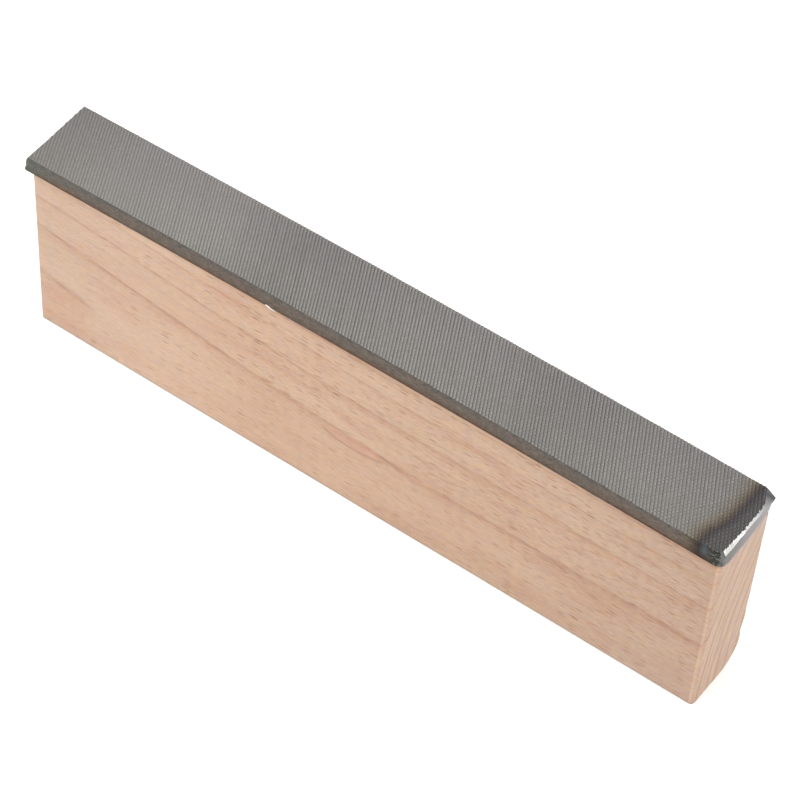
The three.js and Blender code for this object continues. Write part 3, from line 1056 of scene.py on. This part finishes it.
# ---------------------------------------------------------------------------------------------
# beech
# ---------------------------------------------------------------------------------------------
# Annual rings: radius of the outer edge in mm, strength of the dark late wood.
RINGS = [
    (83.6, 0.7), (87.6, 0.7), (91.75, 0.7), (96.05, 1.0), (99.3, 0.75), (101.5, 0.3),
    (103.65, 1.0), (105.6, 0.05), (107.75, 1.0), (109.9, 0.3), (111.6, 0.8), (114.8, 0.65),
    (117.5, 0.6),
]
RINGS_LOW, RINGS_HIGH = 80.0, 121.0
FIRST_RAMP_RINGS = 7  # a ramp holds 32 stops, so the rings are split over two

# across one ring: mm from its outer edge, share of its strength
LATE_WOOD = [(-1.5, 0.0), (-0.10, 1.0), (0.10, 0.0)]
EDGE_LINE = [(-0.30, 0.0), (-0.04, 1.0), (0.12, 0.0)]
END_BAND = [(-0.85, 0.0), (-0.30, 1.0), (0.10, 1.0), (0.60, 0.0)]

# the wood darkens towards the leaning end, partly its own tone and partly painted shade where less
# light falls: mm from the upright end, multiplier
WOOD_LIGHT_FALLOFF = [
    (3, (0.915, 0.975, 1.000, 1)), (30, (0.965, 1.025, 1.050, 1)),
    (60, (0.940, 0.970, 0.970, 1)), (90, (0.930, 0.960, 0.955, 1)),
    (120, (0.905, 0.938, 0.934, 1)), (150, (0.885, 0.920, 0.914, 1)),
    (180, (0.845, 0.877, 0.877, 1)), (195, (0.822, 0.858, 0.874, 1)),
    (206, (0.806, 0.838, 0.852, 1)),
]


def ring_ramp(mat, fraction, profile):
    stops = [
        ((radius + offset - RINGS_LOW) / (RINGS_HIGH - RINGS_LOW), strength * share)
        for radius, strength in RINGS
        for offset, share in profile
    ]
    half = FIRST_RAMP_RINGS * len(profile)
    first = mat.ramp(fraction, stops[:half] + [(stops[half - 1][0] + 0.0005, 0.0)])
    second = mat.ramp(fraction, [(stops[half][0] - 0.0005, 0.0)] + stops[half:])
    return mat.channel(mat.mix(1.0, first, second, blend="LIGHTEN"), 0)


class Beech:
    """The wood's colour, built up in layers by the methods in the order beech() calls them."""

    def __init__(self):
        self.mat = mat = Nodes("beech_wood")
        self.x, self.y, self.z = mat.place()
        self.from_upright = self.x + 103.3  # mm from the upright end

    def rings(self):
        """Radii from the tree's centre line, and the three kinds of ring marks."""
        mat, x, z, from_upright = self.mat, self.x, self.z, self.from_upright
        # the centre line lies 95 mm behind the block's middle, level with its foot, and swings
        # towards the block at its upright end
        warp = mat.cloud(stretch=(0.03, 0.10, 0.10))
        fine_warp = mat.cloud(stretch=(0.10, 0.6, 0.6), detail=3.0, rough=0.6)
        behind = 95.27 - self.y
        above = z + 0.3
        self.radius = mat.math("SQRT", behind * behind + above * above)
        self.tangent = mat.math("ARCTAN2", above, behind) * 107.0
        swing = 3.4 * mat.range(from_upright, over=(0.0, 125.0), to=(1.0, 0.0)) ** 1.5
        ring = self.radius - swing
        ring = ring + mat.centred(warp, span=0.50)
        self.ring = ring = ring + mat.centred(fine_warp, span=0.30)

        fraction = mat.range(ring, over=(RINGS_LOW, RINGS_HIGH))
        late = ring_ramp(mat, fraction, LATE_WOOD)
        line = ring_ramp(mat, fraction, EDGE_LINE)
        self.band = ring_ramp(mat, fraction, END_BAND)
        look = {"of": (x, ring, z), "detail": 3.0, "rough": 0.6}
        fade = mat.cloud(stretch=(0.035, 0.3, 0.05), **look)
        late = late * mat.range(fade, over=(0.30, 0.65), to=(0.35, 1.15))
        broken = mat.cloud(stretch=(0.16, 1.5, 0.4), **look)
        line = line * mat.range(broken, over=(0.36, 0.62), to=(0.15, 1.0))
        # the innermost ring that reaches the near side stops short of its middle
        middle = mat.range(from_upright, over=(14.0, 20.0)) * mat.range(
            from_upright, over=(110.0, 80.0)
        )
        inner = mat.range(ring, over=(104.9, 104.3)) * middle
        late = late * (1.0 - inner)
        self.line = line * (1.0 - inner)
        self.late = late * mat.range(from_upright, over=(0.0, 60.0), to=(0.60, 1.0))

    def ground_color(self):
        mat = self.mat
        cloud = mat.cloud(stretch=(0.022, 0.07, 0.09), detail=3.0, rough=0.55)
        share = mat.range(cloud, over=(0.36, 0.66), to=(0.2, 0.8))
        color = mat.mix(share, srgb(211, 178, 154), srgb(201, 167, 142))
        self.rose = mat.cloud(
            stretch=(0.05, 0.15, 0.20), offset=(0, 0, 7.0), detail=3.0, rough=0.6
        )
        color = mat.patches(
            color, self.rose, over=(0.46, 0.66), share=0.60, color=srgb(199, 157, 134)
        )
        straw = mat.cloud(stretch=(0.06, 0.2, 0.28), offset=(0, 0, 17.0), detail=3.0, rough=0.6)
        color = mat.patches(color, straw, over=(0.50, 0.70), share=0.50, color=srgb(206, 175, 145))
        # partly the wood's own tone, partly painted shade towards the leaning end
        return mat.shade(color, mat.ramp_over(self.from_upright, 0.0, 208.0, WOOD_LIGHT_FALLOFF))

    def end_grain(self, color):
        """The end faces' colour, and the ring marks on all sides."""
        mat, z = self.mat, self.z
        normal = mat.split(mat.make("ShaderNodeNewGeometry", output="Normal"))
        self.normal_y = normal[1]
        self.facing = abs(normal[0])  # 1 on the end faces, 0 on the long sides
        self.end = end = mat.range(self.facing, over=(0.80, 0.97))
        color = mat.mix(end * 0.40, color, srgb(194, 168, 146))
        color = mat.shade(color, (1.06, 1.07, 1.045, 1), share=end)
        look = {"of": (self.ring, z, z), "detail": 3.0, "rough": 0.6}
        lilac = mat.cloud(stretch=(0.9, 0.14, 0), offset=(0, 0, 31.0), **look)
        lilac = end * mat.range(lilac, over=(0.48, 0.66), to=(0.0, 0.45))
        color = mat.mix(lilac, color, srgb(192, 163, 155))
        streak = mat.cloud(stretch=(2.2, 0.10, 0), offset=(0, 0, 3.0), **look)
        streak = mat.ramp(streak, [(0.3, 0.81), (0.5, 1.0), (0.7, 1.15)])
        color = mat.shade(color, streak, share=end)

        band = self.band * (end * mat.range(z, over=(52.0, 12.0), to=(0.34, 0.46)))
        color = mat.mix(band, color, srgb(146, 110, 90))
        late = self.late * mat.range(end, over=(0.0, 1.0), to=(0.30, 0.06))
        color = mat.mix(late, color, srgb(172, 122, 96))
        line = self.line * mat.range(end, over=(0.0, 1.0), to=(0.52, 0.04))
        return mat.mix(line, color, srgb(146, 94, 66))

    def pink_marks(self, color):
        mat, z = self.mat, self.z
        # a pink fan of late wood in the lower corner of the upright end
        rows = mat.range(z, over=(16.5, 13.0), smooth=True) * mat.range(
            z, over=(1.0, 4.0), smooth=True
        )
        fan = mat.range(self.from_upright, over=(21.0, 9.0), smooth=True) * rows
        fan = fan * mat.range(self.rose, over=(0.25, 0.55), to=(0.4, 1.0))
        color = mat.mix(fan * 0.34, color, srgb(198, 146, 122))

        # a pink swelling in the ring beside the middle of the near face, dark along its foot
        across = (self.from_upright - 104.0) / 9.5
        up = (z - 22.4) / 2.4

        def distance_squared():
            return across * across + up * up

        def on_near_side():
            return mat.range(self.y, over=(-6.0, -9.0))

        eye = mat.falloff(distance_squared()) ** 0.6 * on_near_side()
        color = mat.mix(eye * 0.40, color, srgb(198, 146, 124))
        rim = mat.falloff(abs(distance_squared() - 1.0) * 2.6)
        rim = rim * (mat.range(up, over=(0.1, -0.5)) * on_near_side())
        return mat.mix(rim * 0.45, color, srgb(150, 102, 80))

    def fibres(self, color):
        """Fibres along the length, at three sizes, calmer by the upright end."""
        mat = self.mat
        calm = mat.range(self.from_upright, over=(10.0, 80.0), to=(0.78, 1.0))
        coarse = mat.cloud(stretch=(0.055, 1.3, 1.3), detail=4.0, rough=0.62)
        coarse = mat.ramp(coarse, [(0.28, 0.90), (0.5, 1.0), (0.72, 1.06)])
        color = mat.shade(color, coarse, share=calm * 0.75)
        self.fine = mat.cloud(stretch=(0.42, 4.0, 4.0), detail=3.0, rough=0.65)
        fine = mat.ramp(self.fine, [(0.25, 0.80), (0.5, 1.0), (0.75, 1.11)])
        color = mat.shade(color, fine, share=calm)
        mottle = mat.cloud(stretch=(0.55, 1.3, 1.3), detail=3.0, rough=0.6)
        mottle = mat.ramp(mottle, [(0.25, 0.955), (0.75, 1.035)])
        return mat.shade(color, mottle, share=calm)

    def ray_flecks(self, color):
        """Rays: plates that run out from the tree's centre, seen end on as short dashes."""
        mat, x, radius, end = self.mat, self.x, self.radius, self.end
        polar = (x, self.tangent, radius)
        jitter = mat.centred(mat.cloud(stretch=(0.15, 0.5, 0.2), of=polar), span=0.8)
        tangent = self.tangent + jitter
        crowd = mat.cloud(stretch=(0.03, 0.10, 0.1), of=polar)
        crowd = mat.range(crowd, over=(0.3, 0.7), to=(-0.18, 0.18)) + mat.range(
            self.from_upright, over=(0.0, 208.0), to=(-0.16, 0.14)
        )

        def dashes(lengthwise, sidewise, shift, size, keep, channel):
            """Cells per mm along and across, a shift, dash size, and the threshold to show."""
            cells = mat.vec(x * lengthwise, tangent * sidewise + shift, radius * 0.07)
            distance, cell_color = mat.voronoi(cells)
            pick = mat.channel(cell_color, channel)
            shown = mat.range(pick + crowd, over=(keep, keep + 0.35))
            return mat.range(distance, over=(size * 0.72, size), to=(1.0, 0.0), smooth=True) * shown

        self.rays = mat.math(
            "MAXIMUM",
            dashes(lengthwise=0.20, sidewise=2.30, shift=0.0, size=0.30, keep=0.56, channel=0),
            dashes(lengthwise=0.12, sidewise=1.80, shift=5.3, size=0.22, keep=0.62, channel=1),
        )
        small_rays = mat.math(
            "MAXIMUM",
            dashes(lengthwise=0.34, sidewise=3.2, shift=2.1, size=0.34, keep=0.46, channel=2),
            dashes(lengthwise=0.26, sidewise=3.9, shift=8.7, size=0.34, keep=0.52, channel=0),
        )
        # fainter on the ends and on the rounded edges beside them
        turning = mat.range(self.facing, over=(0.10, 0.40)) * mat.range(
            self.facing, over=(0.985, 0.93)
        )
        hidden = turning * mat.range(end, over=(0.0, 1.0), to=(0.9, 0.1))
        seen = 1.0 - end * 0.85 - hidden
        color = mat.mix(self.rays * seen * 0.68, color, srgb(138, 87, 60))
        return mat.mix(small_rays * seen * 0.32, color, srgb(152, 102, 74))

    def specks_and_pores(self, color):
        mat = self.mat
        # warmer, then cooler wood: offset of the noise, multiplier
        for offset, tint in ((40.0, (1.035, 1.0, 0.93, 1)), (80.0, (0.985, 0.985, 1.06, 1))):
            hue = mat.cloud(stretch=(0.28, 0.5, 0.5), offset=(0, 0, offset))
            color = mat.shade(color, mat.ramp(hue, [(0.38, 1.0), (0.66, tint)]))
        distance, _ = mat.voronoi(mat.vec(self.x * 0.8, self.y * 7.0, self.z * 7.0))
        self.pores = mat.range(distance, over=(0.10, 0.32), to=(1.0, 0.0), smooth=True)
        return mat.mix(self.pores * 0.07, color, srgb(140, 102, 80))

    def leaning_end(self, color):
        """Wear and a painted highlight, chip, greyness and a painted shade tint about the leaning
        end, and the end faces' tones.
        """
        mat, y, z, end = self.mat, self.y, self.z, self.end
        # the near upright edge is paler: worn fresh fibres, with a painted highlight where its
        # rounding catches the light
        lead = self.x - (z * END_LEAN + 102.62)
        wear_and_highlight = mat.cloud(stretch=(0, 0, 0.9), offset=(1.0, 2.0, 0), detail=3.0, rough=0.6)
        strip = mat.range(lead, over=(0.05, 0.50), smooth=True) * mat.range(
            lead, over=(1.15, 0.65), smooth=True
        )
        edge = strip * mat.range(y, over=(-8.6, -9.3))
        edge = edge * mat.range(wear_and_highlight, over=(0.3, 0.7), to=(0.10, 0.48))
        color = mat.mix(edge, color, srgb(224, 191, 166))
        strip = mat.range(lead, over=(0.3, 0.7)) * mat.range(lead, over=(2.2, 1.6))
        chip = mat.math("MULTIPLY", 1.0 - abs(z - CHIP_Z) * 1.3, strip, clamp=True)
        chip = chip * mat.range(y, over=(-8.2, -8.9))
        color = mat.mix(chip * 0.42, color, srgb(206, 138, 96))

        low = mat.range(self.from_upright, over=(150.0, 185.0)) * mat.range(z, over=(14.0, 6.0))
        color = mat.shade(color, (1.01, 1.035, 1.07, 1), share=low * (1.0 - end))
        # a painted cool tint of the shade on the end close under the blade, paler in green and blue
        painted_shade_tint = end * mat.range(z, over=(49.6, 52.2), smooth=True)
        color = mat.shade(color, (0.97, 1.05, 1.22, 1), share=painted_shade_tint)
        return mat.shade(color, (0.965, 0.965, 0.975, 1), share=end)

    def painted_shadow_and_edges(self, color):
        # Painted shade and highlight: a painted shadow under the blade on the long sides, a darker
        # bottom near edge, and a painted highlight on the rounded upright edge.
        mat, x, y, z = self.mat, self.x, self.y, self.z
        # the shadow line close under the blade, on the two long sides
        unshaded_color = color
        under = z + ((x * (2 / CROWN_SPAN)) ** 2.0 - CROWN)
        color = mat.shade(color, mat.ramp(mat.range(under, over=(50.6, 54.4)), [
            (0.0, 1.0), (0.28, (0.97, 0.95, 0.93, 1)), (0.46, (0.84, 0.74, 0.64, 1)),
            (0.60, (0.70, 0.58, 0.48, 1)), (1.0, (0.62, 0.50, 0.40, 1)),
        ]))
        # the end faces keep the colour without the painted shadow
        color = mat.mix(self.facing ** 4.0, color, unshaded_color)
        # darker and greyer along the bottom near edge
        low = mat.range(z, over=(1.5, 0.8)) * mat.range(y, over=(-9.0, -9.6))
        color = mat.shade(color, (0.93, 0.985, 1.02, 1), share=low)
        low = mat.range(z, over=(0.85, 0.30)) * mat.range(y, over=(-9.0, -9.6))
        color = mat.mix(low * 0.38, color, srgb(122, 110, 102))
        # the rounded upright edge catches more light than its neighbours
        turn = self.facing * abs(self.normal_y) * 2.0
        turn = mat.math("MULTIPLY", turn, mat.range(x, over=(100.0, 101.0)), clamp=True)
        return mat.shade(color, (1.085, 1.075, 1.06, 1), share=turn)


def beech():
    wood = Beech()
    mat = wood.mat
    wood.rings()
    color = wood.ground_color()
    for layer in (
        wood.end_grain, wood.pink_marks, wood.fibres, wood.ray_flecks,
        wood.specks_and_pores, wood.leaning_end, wood.painted_shadow_and_edges,
    ):
        color = layer(color)
    height = wood.fine * 0.5 - wood.pores * 0.35 - wood.rays * 0.4
    rough = mat.range(wood.fine, over=(0.2, 0.8), to=(0.56, 0.68)) + wood.rays * -0.06
    normal = mat.bump(height, strength=0.35, distance=0.00006)
    return mat.surface(color=color, metallic=0.0, roughness=rough, specular=0.30, normal=normal)


# ---------------------------------------------------------------------------------------------
# glue
# ---------------------------------------------------------------------------------------------
def glue(mat, noise, dark, light, roughness, specular):
    color = mat.mix(mat.range(noise, over=(0.3, 0.7)), dark, light)
    rough = mat.range(noise, over=(0.2, 0.8), to=roughness)
    normal = mat.bump(noise, strength=0.4, distance=0.0001)
    return mat.surface(color=color, roughness=rough, specular=specular, normal=normal)


def amber_glue():
    mat = Nodes("adhesive_amber")
    mat.place()
    noise = mat.cloud(stretch=(0.4, 1.2, 3.0), detail=3.0, rough=0.6)
    return glue(
        mat, noise, dark=srgb(92, 64, 44), light=srgb(132, 96, 66),
        roughness=(0.25, 0.45), specular=0.5,
    )


def cream_glue():
    mat = Nodes("dried_glue_cream")
    noise = mat.noise(mat.millimetres(), scale=2.2, detail=3.0, rough=0.6)
    return glue(
        mat, noise, dark=srgb(214, 202, 184), light=srgb(240, 232, 218),
        roughness=(0.35, 0.6), specular=0.4,
    )


# ---------------------------------------------------------------------------------------------
# put the pieces in the frame
# ---------------------------------------------------------------------------------------------
# builder, materials, piece of the frame, its slot
PIECES = [
    (build_blade, (steel_teeth, steel_side, steel_ground, steel_bevel), "file_blade", "file_steel"),
    (build_block, (beech,), "beech_block", "beech"),
    (build_film, (amber_glue,), "adhesive_film", "adhesive"),
    (build_drop, (cream_glue,), "glue_squeeze_out", "dried_glue"),
]
for build, materials, piece, slot in PIECES:
    obj = build()
    for material in [make_material() for make_material in materials]:
        obj.data.materials.append(material)
    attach(obj, "root")
    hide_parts(piece)


# ---------------------------------------------------------------------------------------------
# floor, world, lights and camera, in metres
# ---------------------------------------------------------------------------------------------
def build_floor():
    mesh = bpy.data.meshes.new("studio_floor")
    corners = [(-6, -6, 0), (6, -6, 0), (6, 6, 0), (-6, 6, 0)]
    mesh.from_pydata(corners, [], [(0, 1, 2, 3)])
    floor = bpy.data.objects.new("studio_floor", mesh)
    bpy.context.scene.collection.objects.link(floor)
    mesh.materials.append(Nodes("floor_paper").surface(
        color=(0.93, 0.93, 0.93, 1), roughness=0.9, specular=0.0,
        emission=(1, 1, 1, 1), glow=0.36,
    ))


def build_world():
    """An even white room, brighter low down behind the ground end."""
    bright_direction = Vector((0.84, 0.54, -0.02)).normalized()
    # cosine to that direction where the glow starts and ends, strength there
    glow_map = (0.72, 1.0, 0.76, 1.65)
    world = bpy.data.worlds.new("studio")
    world.use_nodes = True
    nodes, links = world.node_tree.nodes, world.node_tree.links
    background = nodes["Background"]
    background.inputs[0].default_value = (1, 1, 1, 1)
    coords = nodes.new("ShaderNodeTexCoord")
    dot = nodes.new("ShaderNodeVectorMath")
    dot.operation = "DOT_PRODUCT"
    dot.inputs[1].default_value = bright_direction
    links.new(coords.outputs["Generated"], dot.inputs[0])
    glow = nodes.new("ShaderNodeMapRange")
    glow.interpolation_type = "SMOOTHSTEP"
    for i, value in enumerate(glow_map, 1):
        glow.inputs[i].default_value = value
    links.new(dot.outputs["Value"], glow.inputs[0])
    links.new(glow.outputs[0], background.inputs[1])
    bpy.context.scene.world = world


def area_light(name, location, target, size, energy):
    light = bpy.data.lights.new(name, "AREA")
    light.energy = energy
    light.shape = "RECTANGLE"
    light.size, light.size_y = size
    obj = bpy.data.objects.new(name, light)
    obj.location = location
    aim = Vector(target) - Vector(location)
    obj.rotation_euler = aim.to_track_quat("-Z", "Y").to_euler()
    bpy.context.scene.collection.objects.link(obj)


def build_camera():
    data = bpy.data.cameras.new("camera")
    camera = bpy.data.objects.new("camera", data)
    bpy.context.scene.collection.objects.link(camera)
    data.sensor_fit = "HORIZONTAL"
    data.sensor_width = 36.0
    data.lens = 130.7529
    data.shift_x = 0.0036
    data.shift_y = -0.000175
    data.clip_start = 0.01
    data.clip_end = 30.0
    right = Vector((0.80119594, 0.59669940, 0.04510976))
    down = Vector((0.46272071, -0.56997043, -0.67898693))
    ahead = Vector((-0.37943987, 0.56487479, -0.73276317))
    turn = Matrix((right, -down, -ahead)).transposed()
    location = (0.27898, -0.40615, 0.56052)
    camera.matrix_world = Matrix.Translation(location) @ turn.to_4x4()
    bpy.context.scene.camera = camera


build_floor()
build_world()
area_light(
    "soft_key", location=(-0.55, -0.60, 0.75), target=(0, 0, 0.03), size=(0.7, 0.7), energy=4.2
)
area_light(
    "soft_side", location=(0.80, 0.10, 0.30), target=(0.1, 0, 0.03), size=(0.50, 0.40), energy=1.0
)
build_camera()

view = bpy.context.scene.view_settings
view.view_transform = "Standard"
view.look = "None"
view.exposure = 0.0
view.gamma = 1.0
